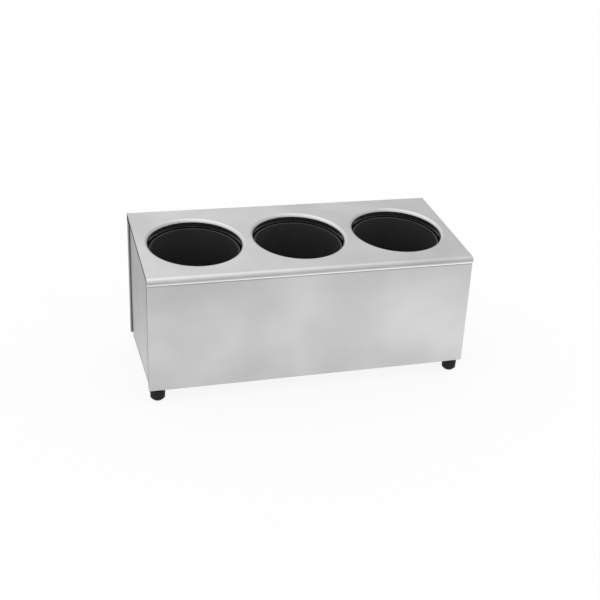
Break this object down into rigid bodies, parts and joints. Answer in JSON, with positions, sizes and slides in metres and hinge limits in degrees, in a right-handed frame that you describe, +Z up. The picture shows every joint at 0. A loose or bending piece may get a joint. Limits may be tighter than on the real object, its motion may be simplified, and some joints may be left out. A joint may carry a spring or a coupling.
{
  "type": "cutlery dispenser",
  "caption": "Countertop cutlery dispenser: a folded stainless box with a sloping top, round wells and black cups that lift out, on rubber feet.",
  "frame": {"origin": "centre of the bounding box's base, on the plane that the rubber feet stand on", "axes": "+X along the front to the right, +Y from the front to the back, +Z up"},
  "size_m": [0.45, 0.19, 0.203],
  "materials": {
    "brushed_steel": "brushed stainless sheet",
    "mill_steel": "plain mill-finish stainless sheet",
    "zinc_fasteners": "bright zinc plate",
    "black_rubber": "moulded black rubber",
    "black_plastic": "moulded black polypropylene"
  },
  "bodies": {
    "housing": {"top_panel": "brushed_steel", "front_panel": "brushed_steel", "back_panel": "brushed_steel", "end_panel_left": "brushed_steel", "end_panel_right": "brushed_steel", "base_panel": "mill_steel", "cup_shelf": "mill_steel", "foot_front_left": "black_rubber", "foot_front_right": "black_rubber", "foot_rear_left": "black_rubber", "foot_rear_right": "black_rubber", "foot_washers": "zinc_fasteners", "foot_screws": "zinc_fasteners", "foot_nuts": "zinc_fasteners", "shelf_screws": "zinc_fasteners", "shelf_nuts": "zinc_fasteners"},
    "cup_left": {"cutlery_cup_left": "black_plastic"},
    "cup_centre": {"cutlery_cup_centre": "black_plastic"},
    "cup_right": {"cutlery_cup_right": "black_plastic"}
  },
  "joints": [
    {"name": "cup_left_lift", "type": "slide", "parent": "housing", "child": "cup_left", "axis": [0, -0.1409, 0.99], "range_m": [0, 0.162]},
    {"name": "cup_centre_lift", "type": "slide", "parent": "housing", "child": "cup_centre", "axis": [0, -0.1409, 0.99], "range_m": [0, 0.162]},
    {"name": "cup_right_lift", "type": "slide", "parent": "housing", "child": "cup_right", "axis": [0, -0.1409, 0.99], "range_m": [0, 0.162]}
  ]
}
